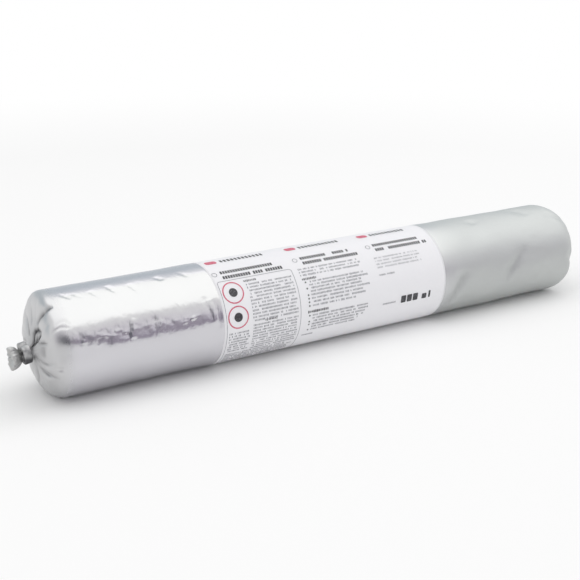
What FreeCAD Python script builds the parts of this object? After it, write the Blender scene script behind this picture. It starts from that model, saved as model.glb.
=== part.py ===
# Foil sausage pack of sealant, 600 ml, lying on its side.
#
# A soft tube of metallised film holds the sealant. Both ends are gathered into radial pleats, pulled
# through a crimped aluminium clip and end in a short pleated tail. A paper-thin label is wrapped
# round the middle. The pack has settled on a narrow flat along its underside.
#
# Row frame: +X runs along the pack towards its far end, +Z is up, and the origin is the middle of
# the flat that it rests on. Millimetres throughout.

import FreeCAD, Part
import math
import os

import Sketcher

os.makedirs("parts", exist_ok=True)

doc = FreeCAD.newDocument("sausage_pack")
Vector = FreeCAD.Vector

# Driving dimensions

SIZES = [
    # the filled body
    ("film_radius", 25.0, "outside radius of the filled film tube"),
    ("body_length", 292.0, "shoulder to shoulder, where the tube is straight"),
    ("rest_width", 10.0, "width of the flat that the pack has settled on"),
    # the gathered ends
    ("front_depth", 11.6, "from the near shoulder out to the neck"),
    ("rear_depth", 13.6, "from the far shoulder out to the neck"),
    ("front_shoulder", 9.0, "radius that rounds the near shoulder"),
    ("rear_shoulder", 9.0, "radius that rounds the far shoulder"),
    ("face_dish", 2.2, "how far the end face stands back from the neck"),
    ("front_heel", 0.8, "how far the underside lifts towards the near end"),
    ("rear_heel", -2.5, "the same at the far end, where the filling has settled outwards instead"),
    ("front_lean", 9.0, "degrees that the near clip leans outwards at its top"),
    ("rear_lean", 4.0, "degrees that the far clip leans outwards at its top"),
    ("front_pleats", 10, "radial pleats in the near gather"),
    ("rear_pleats", 8, "radial pleats in the far gather"),
    ("pleat_depth", 1.5, "deepest fold between two pleats on the end face"),
    # neck and tail
    ("neck_radius", 3.0, "gathered film inside the clip"),
    ("neck_top", 1.9, "height of the gathered film under the clip's tips"),
    ("throat_width", 1.4, "round the neck, where the end face turns into it"),
    ("throat_run", 1.2, "along the neck, from the throat to the clip"),
    ("tail_length", 5.6, "film left outside the clip"),
    ("tail_radius", 5.0, "flared end of the tail"),
    ("tail_flare", 2.0, "along the tail, from the clip to where it has spread"),
    # the clips
    ("clip_width", 3.6, "along the pack"),
    ("clip_thickness", 1.7, "of the flattened wire"),
    ("clip_corner", 0.35, "taken off the wire's corners"),
    ("clip_play", 0.15, "gap between the wire and the film"),
    ("clip_leg", 2.2, "straight rise of each leg above the neck's centre"),
    ("tip_gap", 0.2, "between the two crimped tips"),
    # the label
    ("label_start", -72.3, "near edge of the label, from the middle of the pack"),
    ("label_length", 131.8, "along the pack"),
    ("label_thickness", 0.1, "printed film or paper"),
    ("lap_width", 9.0, "overlap of the label's two ends, at the back"),
    ("lap_angle", 20.0, "degrees below the horizontal at which the lap lies"),
]

sheet = doc.addObject("Spreadsheet::Sheet", "sizes")
for line, (alias, number, meaning) in enumerate(SIZES, start=1):
    sheet.set("A%d" % line, alias)
    sheet.set("B%d" % line, str(number))
    sheet.set("C%d" % line, meaning)
    sheet.setAlias("B%d" % line, alias)
doc.recompute()


def size(alias):
    return float(sheet.get(alias))


# Formulas on those dimensions, for expressions

LABEL_RADIUS = "(sizes.film_radius + sizes.label_thickness)"
AXIS_HEIGHT = "sqrt(%s ^ 2 - (sizes.rest_width / 2) ^ 2)" % LABEL_RADIUS
WIRE_RADIUS = "(sizes.neck_radius + sizes.clip_play + sizes.clip_thickness / 2)"
LOBE_RADIUS = "((%s - sizes.clip_thickness / 2 - sizes.tip_gap / 2) / 2)" % WIRE_RADIUS

film_radius = size("film_radius")
label_thickness = size("label_thickness")
axis_height = math.sqrt((film_radius + label_thickness) ** 2 - (size("rest_width") / 2) ** 2)

# Sketch helpers


def plane(body, role):
    return [item for item in body.Origin.OriginFeatures if item.Role == role][0]


def sketch_on(body, name, role):
    sketch = body.newObject("Sketcher::SketchObject", name)
    sketch.AttachmentSupport = [(plane(body, role), "")]
    sketch.MapMode = "FlatFace"
    return sketch


def tie(sketch, formula, *constraint):
    """Add one dimension to the sketch and bind it to a formula on the sheet."""
    index = sketch.addConstraint(Sketcher.Constraint(*constraint))
    sketch.setExpression("Constraints[%d]" % index, formula)
    return index


def polar(radius, degrees):
    angle = math.radians(degrees)
    return Vector(radius * math.cos(angle), radius * math.sin(angle), 0)


def arc(radius, start, end, centre=None):
    circle = Part.Circle(centre or Vector(), Vector(0, 0, 1), radius)
    return Part.ArcOfCircle(circle, math.radians(start), math.radians(end))


# Foil pack: the two gathered ends

# Slow waves that make the pleats uneven, as gathered film is: how often each repeats round the
# pack, its phase and its size
SPACING_WAVES = ((2, 0.7, 0.10), (5, 2.1, 0.05))
DEPTH_WAVES = ((3, 1.0, 0.20), (5, 0.4, 0.25))

# How far a pleat's crown stands out, as a share of the valleys beside it
CROWN_SHARE = 0.2
# Degrees that the film has turned at each ring between the tube and the end face
SHOULDER_TURNS = (14, 36, 60, 80)
# Rings on the end face, as shares of the way from the neck out to the shoulder
FACE_SHARES = (0.7, 0.3)
# Share of the deepest fold that is left in the tail, on the shoulder and inside the clip
TAIL_FOLD = 0.5
SHOULDER_FOLD = 0.6
PRESSED_FOLD = 0.08
# The end face stays square to the tube, and only the neck leans: how late the lean sets in
LEAN_ONSET = 5


def waves(table, angle):
    return sum(height * math.sin(count * angle + phase) for count, phase, height in table)


class Ring:
    """One ring round a gathered end, from which the film's control points are worked out.

    out      distance from the shoulder, outwards along the end's own axis
    radius   of the ring before it is folded
    facing   degrees from sideways (0) to straight outwards (90) that the film faces here
    fold     depth of the valleys here
    bundle   1 inside the clip, where the film is pressed flat under the tips
    heel     how far the underside has lifted off the floor here
    """

    def __init__(self, out, radius, facing=0.0, fold=0.0, bundle=0.0, heel=0.0):
        self.out = out
        self.radius = radius
        self.facing = math.radians(facing)
        self.fold = fold
        self.bundle = bundle
        self.heel = heel

    def point(self, angle, reach, inward, lean):
        """A control point at an angle round the ring, reach beyond it and inward of the film."""
        radius = self.radius * reach - inward * math.cos(self.facing)
        across = radius * math.cos(angle)
        up = radius * math.sin(angle)
        if up > 0:
            up *= 1 - self.bundle * (1 - size("neck_top") / size("neck_radius"))
        else:
            up += self.heel * math.sin(angle) ** 2
        out = self.out - inward * math.sin(self.facing)
        along = out * math.cos(lean) + up * math.sin(lean)
        height = up * math.cos(lean) - out * math.sin(lean)
        return Vector(along, across, height)


class GatheredEnd:
    """Film drawn together from the shoulder into the neck, and flared again in the tail."""

    def __init__(self, name):
        self.depth = size(name + "_depth")
        self.shoulder = size(name + "_shoulder")
        self.heel = size(name + "_heel")
        self.lean = math.radians(size(name + "_lean"))
        self.pleats = int(size(name + "_pleats"))

    def valley_angle(self, number):
        """Where the valley between two pleats lies round the axis."""
        even = 2 * math.pi * number / self.pleats
        return even + waves(SPACING_WAVES, even)

    def rings(self):
        """From the shoulder out to the tail's cut end."""
        neck = size("neck_radius")
        tail = size("tail_radius")
        fold = size("pleat_depth")
        throat = size("throat_width")
        run = size("throat_run")
        flare = size("tail_flare")
        clip = size("clip_width") + 2 * size("clip_play")
        neck_out = self.depth + clip
        tail_end = neck_out + size("tail_length")
        face_edge = film_radius - self.shoulder
        face_out = self.depth - size("face_dish")
        rings = [Ring(0, film_radius)]
        for turn in SHOULDER_TURNS:
            angle = math.radians(turn)
            rings.append(Ring(
                face_out * math.sin(angle), face_edge + self.shoulder * math.cos(angle), turn,
                SHOULDER_FOLD * fold * (turn / 90) ** 1.5, heel=self.heel * math.sin(angle)))
        for share in FACE_SHARES:
            radius = neck + throat + share * (face_edge - neck - throat)
            rings.append(Ring(
                face_out + size("face_dish") * (1 - share) / 2, radius, SHOULDER_TURNS[-1],
                fold * (1 - share / 2), heel=self.heel * share))
        pressed = PRESSED_FOLD * fold
        rings += [
            Ring(self.depth - run, neck + throat, 60, SHOULDER_FOLD * fold, bundle=0.2),
            Ring(self.depth - run / 3, neck, 0, pressed, bundle=1),
            Ring(self.depth, neck, 0, pressed, bundle=1),
            Ring(neck_out - clip / 3, neck, 0, pressed, bundle=1),
            Ring(neck_out + flare / 3, neck, 0, pressed, bundle=1),
            Ring(neck_out + flare, tail, 0, TAIL_FOLD * fold),
            Ring(tail_end - flare, tail, 0, TAIL_FOLD * fold),
            Ring(tail_end, tail, 0, TAIL_FOLD * fold),
        ]
        return rings

    def strip(self, number):
        """The film between two valleys: an arc across, exact at the shoulder, bulged further out."""
        first = self.valley_angle(number)
        last = self.valley_angle(number + 1)
        middle = (first + last) / 2
        share = math.cos((last - first) / 2)
        poles = []
        for ring in self.rings():
            lean = self.lean * min(1, ring.out / self.depth) ** LEAN_ONSET
            deep = [ring.fold * (1 + waves(DEPTH_WAVES, valley)) for valley in (first, last)]
            crown = -CROWN_SHARE * sum(deep) / 2
            poles.append([
                ring.point(first, 1, deep[0], lean),
                ring.point(middle, 1 / share, crown, lean),
                ring.point(last, 1, deep[1], lean),
            ])
        spans = len(poles) - 3
        surface = Part.BSplineSurface()
        surface.buildFromPolesMultsKnots(
            poles,
            [4] + [1] * (spans - 1) + [4], [3, 3],
            list(range(spans + 1)), [0, 1],
            False, False, 3, 2,
            [[1, share, 1]] * len(poles))
        return surface

    def solid(self):
        """Closed solid: the strips, a flat disc at the shoulder and the tail's flat cut end."""
        strips = [self.strip(number) for number in range(self.pleats)]
        faces = [strip.toShape() for strip in strips]
        for end in (strips[0].bounds()[0], strips[0].bounds()[1]):
            rims = [strip.uIso(end).toShape() for strip in strips]
            faces.append(Part.Face(Part.Wire(rims)))
        shell = Part.makeShell(faces)
        shell.sewShape()
        solid = Part.makeSolid(Part.Shell(shell.Faces))
        if solid.Volume < 0:
            solid.reverse()
        return solid


def gathered_end(name, side):
    """The end as a piece of the model: its shoulder meets the tube, its tail points away from it."""
    piece = doc.addObject("Part::Feature", name + "_gather")
    shape = GatheredEnd(name).solid()
    if side < 0:
        shape = shape.mirror(Vector(), Vector(1, 0, 0))
    piece.Shape = shape
    piece.Placement = FreeCAD.Placement(Vector(side * size("body_length") / 2, 0, 0), FreeCAD.Rotation())
    return piece


tube = doc.addObject("Part::Cylinder", "filled_tube")
tube.setExpression("Radius", "sizes.film_radius")
tube.setExpression("Height", "sizes.body_length")
tube.Placement.Rotation = FreeCAD.Rotation(Vector(0, 1, 0), 90)
tube.setExpression(".Placement.Base.x", "-sizes.body_length / 2")

film = doc.addObject("Part::MultiFuse", "film")
film.Shapes = [tube, gathered_end("front", -1), gathered_end("rear", 1)]

# the floor takes the underside off along a narrow flat, one label's thickness above the floor
under_box = doc.addObject("Part::Box", "under_box")
under_box.setExpression("Length", "sizes.body_length * 1.4")
under_box.setExpression("Width", "sizes.film_radius * 2")
under_box.setExpression("Height", "sizes.film_radius")
under_box.setExpression(".Placement.Base.x", "-sizes.body_length * 0.7")
under_box.setExpression(".Placement.Base.y", "-sizes.film_radius")
under_box.setExpression(
    ".Placement.Base.z", "sizes.label_thickness - sizes.film_radius - %s" % AXIS_HEIGHT)

foil_pack = doc.addObject("Part::Cut", "foil_pack")
foil_pack.Base = film
foil_pack.Tool = under_box
foil_pack.setExpression(".Placement.Base.z", AXIS_HEIGHT)

# Label: one turn of thin print stock, with a lap at the back


def flat_ring(sketch, radius_formula, drop_formula, radius, drop):
    """A circle with its bottom cut off flat: an arc over the top and a line underneath."""
    edge = math.degrees(math.asin(-drop / radius))
    bow = sketch.addGeometry(arc(radius, edge, 180 - edge), False)
    left = polar(radius, 180 - edge)
    right = polar(radius, edge)
    base = sketch.addGeometry(Part.LineSegment(left, right), False)
    sketch.addConstraint(Sketcher.Constraint("Coincident", bow, 3, -1, 1))
    sketch.addConstraint(Sketcher.Constraint("Coincident", bow, 2, base, 1))
    sketch.addConstraint(Sketcher.Constraint("Coincident", base, 2, bow, 1))
    sketch.addConstraint(Sketcher.Constraint("Horizontal", base))
    tie(sketch, radius_formula, "Radius", bow, radius)
    tie(sketch, drop_formula, "DistanceY", base, 1, -1, 1, drop)


label = doc.addObject("PartDesign::Body", "label")
band = sketch_on(label, "label_section", "YZ_Plane")
flat_ring(band, LABEL_RADIUS, AXIS_HEIGHT, film_radius + label_thickness, axis_height)
flat_ring(band, "sizes.film_radius", AXIS_HEIGHT + " - sizes.label_thickness",
          film_radius, axis_height - label_thickness)

wrap = label.newObject("PartDesign::Pad", "label_wrap")
wrap.Profile = band
wrap.setExpression("Length", "sizes.label_length")

lap_sketch = sketch_on(label, "lap_section", "YZ_Plane")
lap_half = math.degrees(size("lap_width") / (2 * film_radius))
lap_start = -size("lap_angle") - lap_half
lap_end = -size("lap_angle") + lap_half
inner = film_radius + label_thickness
outer = inner + label_thickness
low = lap_sketch.addGeometry(arc(inner, lap_start, lap_end), False)
high = lap_sketch.addGeometry(arc(outer, lap_start, lap_end), False)
end_one = lap_sketch.addGeometry(Part.LineSegment(polar(inner, lap_start), polar(outer, lap_start)), False)
end_two = lap_sketch.addGeometry(Part.LineSegment(polar(inner, lap_end), polar(outer, lap_end)), False)
for bow in (low, high):
    lap_sketch.addConstraint(Sketcher.Constraint("Coincident", bow, 3, -1, 1))
    lap_sketch.addConstraint(Sketcher.Constraint("Coincident", bow, 1, end_one, 1 if bow == low else 2))
    lap_sketch.addConstraint(Sketcher.Constraint("Coincident", bow, 2, end_two, 1 if bow == low else 2))
lap_sketch.addConstraint(Sketcher.Constraint("PointOnObject", -1, 1, end_one))
lap_sketch.addConstraint(Sketcher.Constraint("PointOnObject", -1, 1, end_two))
tie(lap_sketch, LABEL_RADIUS, "Radius", low, inner)
tie(lap_sketch, LABEL_RADIUS + " + sizes.label_thickness", "Radius", high, outer)
lap_turn = "sizes.lap_width / sizes.film_radius * 90 / pi"
tie(lap_sketch, "(-sizes.lap_angle - %s) * 1 deg" % lap_turn, "Angle", -1, end_one, math.radians(lap_start))
tie(lap_sketch, "(-sizes.lap_angle + %s) * 1 deg" % lap_turn, "Angle", -1, end_two, math.radians(lap_end))

lap = label.newObject("PartDesign::Pad", "label_lap")
lap.Profile = lap_sketch
lap.setExpression("Length", "sizes.label_length")
label.setExpression(".Placement.Base.x", "sizes.label_start")
label.setExpression(".Placement.Base.z", AXIS_HEIGHT)

# Clips: flattened wire bent round the neck, its two tips crimped down into the gathered film


def crimped_clip(name):
    """Half of the wire is swept from the bottom round to its tip, and mirrored to the other half."""
    body = doc.addObject("PartDesign::Body", name)
    thickness = size("clip_thickness")
    wire = size("neck_radius") + size("clip_play") + thickness / 2
    lobe = (wire - thickness / 2 - size("tip_gap") / 2) / 2
    leg = size("clip_leg")
    tip = size("neck_top") + size("clip_play")

    path = sketch_on(body, name + "_path", "YZ_Plane")
    saddle = path.addGeometry(arc(wire, -90, 0), False)
    rise = path.addGeometry(Part.LineSegment(Vector(wire, 0, 0), Vector(wire, leg, 0)), False)
    curl = path.addGeometry(arc(lobe, 0, 180, Vector(wire - lobe, leg, 0)), False)
    fall_top = Vector(wire - 2 * lobe, leg, 0)
    fall = path.addGeometry(Part.LineSegment(fall_top, Vector(fall_top.x, tip, 0)), False)
    constrain = path.addConstraint
    constrain(Sketcher.Constraint("Coincident", saddle, 3, -1, 1))
    constrain(Sketcher.Constraint("PointOnObject", saddle, 1, -2))
    constrain(Sketcher.Constraint("PointOnObject", saddle, 2, -1))
    constrain(Sketcher.Constraint("Coincident", rise, 1, saddle, 2))
    constrain(Sketcher.Constraint("Vertical", rise))
    constrain(Sketcher.Constraint("Tangent", rise, 2, curl, 1))
    constrain(Sketcher.Constraint("Tangent", curl, 2, fall, 1))
    constrain(Sketcher.Constraint("Vertical", fall))
    tie(path, WIRE_RADIUS, "Radius", saddle, wire)
    tie(path, LOBE_RADIUS, "Radius", curl, lobe)
    tie(path, "sizes.clip_leg", "DistanceY", rise, 1, rise, 2, leg)
    tie(path, "sizes.neck_top + sizes.clip_play", "DistanceY", -1, 1, fall, 2, tip)

    # the flattened wire: a flat bar with its two outer corners taken off
    section = sketch_on(body, name + "_section", "XZ_Plane")
    corner = size("clip_corner")
    half_width = size("clip_width") / 2
    below = -wire - thickness / 2
    above = -wire + thickness / 2
    outline = [
        Vector(-half_width + corner, below, 0), Vector(half_width - corner, below, 0),
        Vector(half_width, below + corner, 0), Vector(half_width, above, 0),
        Vector(-half_width, above, 0), Vector(-half_width, below + corner, 0),
    ]
    sides = [
        section.addGeometry(Part.LineSegment(start, end), False)
        for start, end in zip(outline, outline[1:] + outline[:1])
    ]
    for side, following in zip(sides, sides[1:] + sides[:1]):
        section.addConstraint(Sketcher.Constraint("Coincident", side, 2, following, 1))
    under, _, right, over, left, _ = sides
    section.addConstraint(Sketcher.Constraint("Symmetric", under, 1, under, 2, -2))
    section.addConstraint(Sketcher.Constraint("Symmetric", over, 1, over, 2, -2))
    section.addConstraint(Sketcher.Constraint("Vertical", right))
    section.addConstraint(Sketcher.Constraint("Vertical", left))
    section.addConstraint(Sketcher.Constraint("Equal", right, left))
    tie(section, "sizes.clip_width - 2 * sizes.clip_corner", "DistanceX", under, 1, under, 2,
        2 * (half_width - corner))
    tie(section, "sizes.clip_width", "DistanceX", over, 2, over, 1, 2 * half_width)
    tie(section, "sizes.clip_corner", "DistanceY", under, 2, right, 1, corner)
    tie(section, "sizes.clip_thickness", "DistanceY", under, 2, over, 1, thickness)
    tie(section, WIRE_RADIUS + " + sizes.clip_thickness / 2", "DistanceY", under, 1, -1, 1, -below)

    half = body.newObject("PartDesign::AdditivePipe", name + "_half")
    half.Profile = section
    half.Spine = path
    doc.recompute()

    other = body.newObject("PartDesign::Mirrored", name + "_mirror")
    other.Originals = [half]
    other.MirrorPlane = (plane(body, "XZ_Plane"), [""])
    body.Tip = other
    doc.recompute()

    return body


def seat_clip(body, side, name):
    """Put the clip round the neck, leaning as the neck does."""
    half = size("body_length") / 2
    lean = math.radians(size(name + "_lean"))
    middle = size(name + "_depth") + size("clip_play") + size("clip_width") / 2
    along = middle * math.cos(lean)
    height = axis_height - middle * math.sin(lean)
    turn = FreeCAD.Rotation(Vector(0, 1, 0), side * size(name + "_lean"))
    body.Placement = FreeCAD.Placement(Vector(side * (half + along), 0, height), turn)


front_clip = crimped_clip("front_clip")
seat_clip(front_clip, -1, "front")
rear_clip = crimped_clip("rear_clip")
seat_clip(rear_clip, 1, "rear")

doc.recompute()

# Check every object, then write each sub-part

for item in doc.Objects:
    if "Invalid" in item.State or "Error" in item.State:
        raise RuntimeError("%s did not recompute: %s" % (item.Name, item.State))

for part in (foil_pack, label, front_clip, rear_clip):
    shape = part.Shape
    if shape.isNull() or not shape.isValid() or len(shape.Solids) != 1:
        raise RuntimeError("%s is not one valid solid" % part.Label)
    shape.exportStep("parts/%s.step" % part.Label)
    box = shape.BoundBox
    print("%-11s %10.1f mm3   x %7.2f to %7.2f   y %6.2f to %6.2f   z %6.2f to %6.2f" % (
        part.Label, shape.Volume, box.XMin, box.XMax, box.YMin, box.YMax, box.ZMin, box.ZMax))
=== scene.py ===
# %% [markdown]
# A foil sausage pack of sealant
#
# The real object is a soft tube of metallised film, filled with sealant and lying on its side. Each
# end is gathered into pleats, pulled through a crimped clip, and ends in a short tail. A white label
# is wrapped round the middle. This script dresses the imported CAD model: it makes the film, the label
# and the print as finer meshes, gives every surface its finish, and sets up a plain white studio.
#
# The CAD model comes first, because it says where everything is.

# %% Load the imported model
import math

import bpy
import bmesh
import numpy as np
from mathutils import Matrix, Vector


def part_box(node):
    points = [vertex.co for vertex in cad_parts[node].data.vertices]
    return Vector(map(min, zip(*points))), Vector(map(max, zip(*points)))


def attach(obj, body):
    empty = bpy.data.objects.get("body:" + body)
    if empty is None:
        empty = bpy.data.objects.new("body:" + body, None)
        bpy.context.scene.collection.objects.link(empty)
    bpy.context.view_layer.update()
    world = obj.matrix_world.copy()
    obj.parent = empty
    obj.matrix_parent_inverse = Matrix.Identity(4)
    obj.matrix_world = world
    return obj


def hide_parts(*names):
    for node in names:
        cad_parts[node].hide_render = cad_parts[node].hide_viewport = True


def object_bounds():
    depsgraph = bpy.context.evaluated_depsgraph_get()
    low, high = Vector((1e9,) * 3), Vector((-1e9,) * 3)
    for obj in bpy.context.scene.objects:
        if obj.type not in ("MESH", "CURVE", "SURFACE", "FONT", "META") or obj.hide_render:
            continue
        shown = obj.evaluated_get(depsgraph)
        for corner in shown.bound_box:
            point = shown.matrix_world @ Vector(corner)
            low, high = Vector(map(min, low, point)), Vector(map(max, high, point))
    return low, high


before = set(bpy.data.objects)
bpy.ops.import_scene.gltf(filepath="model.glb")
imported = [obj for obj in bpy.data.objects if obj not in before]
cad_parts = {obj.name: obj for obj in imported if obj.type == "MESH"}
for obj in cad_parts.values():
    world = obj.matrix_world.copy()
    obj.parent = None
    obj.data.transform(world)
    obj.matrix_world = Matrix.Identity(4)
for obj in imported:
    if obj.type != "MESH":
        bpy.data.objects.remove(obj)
cad_low, cad_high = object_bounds()
print("CAD box, mm:", [round(1000 * v) for v in cad_high - cad_low])

# %% [markdown]
# The label's box gives the pack's radius, the height of its axis and the label's two edges, so the
# finer meshes fit the CAD solids. Shapes are worked out in millimetres, and meshes are in metres.
#
# A place on the pack is given by two numbers: x along the pack, and the turn in degrees, which is 0
# on the camera's side, 90 on top, 180 at the back and 270 underneath.

# %% Sizes from the frame
MM = 0.001
BODY = "root"

label_low, label_high = (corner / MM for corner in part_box("label"))

SHEET = 0.1  # thickness of the label's stock
LABEL_RADIUS = -label_low.y
AXIS_HEIGHT = label_high.z - LABEL_RADIUS
FILM_RADIUS = LABEL_RADIUS - SHEET
LABEL_START = label_low.x
LABEL_END = label_high.x
print("label from x %.1f to %.1f mm, radius %.2f, axis %.2f mm up" % (
    LABEL_START, LABEL_END, LABEL_RADIUS, AXIS_HEIGHT))

# %% The pack's own sizes, as in the CAD model
HALF_LENGTH = 146.0  # from the middle to each shoulder
NECK_RADIUS = 3.0
NECK_TOP = 1.9  # the gathered film is pressed flatter under the clip's tips
TAIL_RADIUS = 5.0
TAIL_LENGTH = 5.6
SHOULDER = 9.0  # radius of the rounded shoulder
CLIP_WIDTH = 3.6
CLIP_PLAY = 0.15
FACE_DISH = 2.2
THROAT = 1.4  # the face ends this far outside the neck
TINY = 1e-9  # keeps divisions off zero, and places inside the last span

# %% [markdown]
# Two small classes carry all node work, for materials and for Geometry Nodes alike. `Wire` wraps one
# output socket and overloads the arithmetic signs, so `1 - mask * 0.5` adds its Math nodes by itself.
# `Graph.node` makes any other node, from the values or links of its sockets and its settings by name.

# %% Wires and graphs


def arithmetic(operation, swapped=False):
    """The method behind one arithmetic sign, for numbers and vectors alike."""
    def method(self, other):
        kind = "ShaderNodeVectorMath" if self.socket.type == "VECTOR" else "ShaderNodeMath"
        pair = [other, self] if swapped else [self, other]
        return self.graph.node(kind, pair, operation=operation)
    return method


class Wire:
    """One output socket, usable in arithmetic as a number or as a vector."""

    def __init__(self, graph, socket):
        self.graph = graph
        self.socket = socket

    __add__ = __radd__ = arithmetic("ADD")
    __mul__ = __rmul__ = arithmetic("MULTIPLY")
    __truediv__ = arithmetic("DIVIDE")
    __sub__ = arithmetic("SUBTRACT")
    __rsub__ = arithmetic("SUBTRACT", swapped=True)

    def math(self, operation, *others):
        """Any other Math node, such as ABSOLUTE or MAXIMUM."""
        return self.graph.node("ShaderNodeMath", [self, *others], operation=operation)


class Graph:
    """A node tree, with one method that makes and wires a node."""

    def __init__(self, tree):
        self.tree = tree

    def put(self, socket, value):
        if isinstance(value, Wire):
            self.tree.links.new(value.socket, socket)
        else:
            socket.default_value = value

    def node(self, kind, sockets=(), output=0, **settings):
        made = self.tree.nodes.new(kind)
        for name, value in settings.items():
            if name == "stops":
                self.set_stops(made.color_ramp, value)
            else:
                setattr(made, name, value)
        named = sockets.items() if isinstance(sockets, dict) else enumerate(sockets)
        for key, value in named:
            self.put(made.inputs[key], value)
        return Wire(self, made.outputs[output]) if made.outputs else made

    def set_stops(self, ramp, stops):
        while len(ramp.elements) < len(stops):
            ramp.elements.new(1.0)
        for element, (place, colour) in zip(ramp.elements, stops):
            element.position = place
            element.color = colour

    def split(self, vector):
        """The three numbers of a vector."""
        made = self.node("ShaderNodeSeparateXYZ", [vector]).socket.node
        return [Wire(self, socket) for socket in made.outputs]

    def vector(self, x, y, z):
        return self.node("ShaderNodeCombineXYZ", [x, y, z])

    def blend(self, share, first, second):
        """A colour between two, by a share from 0 to 1."""
        return self.node("ShaderNodeMix", {0: share, 6: first, 7: second}, 2, data_type="RGBA")

    def fade(self, value, start, end, low=0.0, high=1.0):
        """A smooth change from low to high while the value goes from start to end."""
        return self.node(
            "ShaderNodeMapRange", [value, start, end, low, high], interpolation_type="SMOOTHSTEP")

    def noise(self, place, scale, detail=2.0):
        return self.node("ShaderNodeTexNoise", {"Vector": place, "Scale": scale, "Detail": detail})


# %% [markdown]
# The film is one closed skin from tail to tail. Its outline along the pack is a clamped cubic spline
# over the same rings as the CAD model's: tube, rounded shoulder, dished end face, throat, neck and
# flared tail. Evaluated in every direction round the axis, it gives a grid of points that is fine
# enough for the creases and dents that the CAD solid leaves out.

# %% A clamped cubic spline over rings


def spline_weights(count, places):
    """How much each of count rings counts at each place from 0 to 1."""
    spans = count - 3
    knots = np.concatenate([[0] * 3, np.arange(spans + 1), [spans] * 3]).astype(float)
    along = np.clip(np.asarray(places) * spans, 0, spans - TINY)
    basis = [((low <= along) & (along < high)).astype(float) for low, high in zip(knots, knots[1:])]
    for degree in (1, 2, 3):
        raised = []
        for i in range(len(basis) - 1):
            rise = max(knots[i + degree] - knots[i], TINY)
            fall = max(knots[i + degree + 1] - knots[i + 1], TINY)
            raised.append((along - knots[i]) / rise * basis[i]
                          + (knots[i + degree + 1] - along) / fall * basis[i + 1])
        basis = raised
    return np.array(basis).T


ROUND = 320
turns = np.arange(ROUND) * 2 * math.pi / ROUND
print("film grid: %d points round" % ROUND)

# %% [markdown]
# Gathered film falls into pleats: sharp valleys where it is drawn in, rounded crowns between them.
# Each valley is an angle, a depth and a half width. The near end's main valleys are placed where the
# real pack shows its folds, and fine random ones fill in between, because hand-gathered film is never
# regular.

# %% Pleats
FRONT_VALLEYS = (
    (67, 1.3, 7), (90, 0.7, 6), (113, 0.5, 7), (139, 0.9, 7), (164, 0.6, 8), (191, 0.9, 7),
    (219, 0.6, 8), (246, 0.9, 7), (274, 0.8, 7), (303, 0.5, 8), (331, 0.6, 7), (350, 0.3, 6),
    (24, 0.4, 5), (44, 0.9, 5),
)
REAR_VALLEYS = (
    (12, 0.8, 8), (38, 1.1, 8), (71, 0.7, 9), (103, 1.0, 8), (140, 0.8, 9), (172, 1.1, 8),
    (208, 0.7, 9), (240, 1.0, 8), (275, 0.8, 9), (309, 1.1, 8), (338, 0.7, 7),
)
FINE_PLEATS = 30


def cusps(valleys):
    """Depth of the folds in every direction: a sharp dip at each valley."""
    depth = np.zeros(ROUND)
    for angle, deep, half in valleys:
        off = np.abs((np.degrees(turns) - angle + 180) % 360 - 180)
        depth += deep * np.exp(-off / half)
    return depth


def fine_cusps(seed):
    """Many narrow folds of random depth, for the neck and the tail."""
    draw = np.random.default_rng(seed)
    step = 360 / FINE_PLEATS
    return cusps([
        ((number + draw.uniform(-0.3, 0.3)) * step, draw.uniform(0.25, 1.0), draw.uniform(2.5, 4.5))
        for number in range(FINE_PLEATS)])


# %% [markdown]
# One class builds both ends, ring by ring: over the shoulder, the dished face and the throat, along
# the neck under the clip, and out over the tail. A hand-made end is not round, so the shoulder can
# stand out in one direction, a tuck draws the face in beside the top, and the tail hangs out below.

# %% Rings of one gathered end
FACE_TURN = 80  # degrees that the film has turned where the shoulder ends
TUCK_TURN = 102  # middle of the tuck, a little behind the top
OVERHANG = 1.3  # the tail's cut end hangs out this much further below


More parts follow.
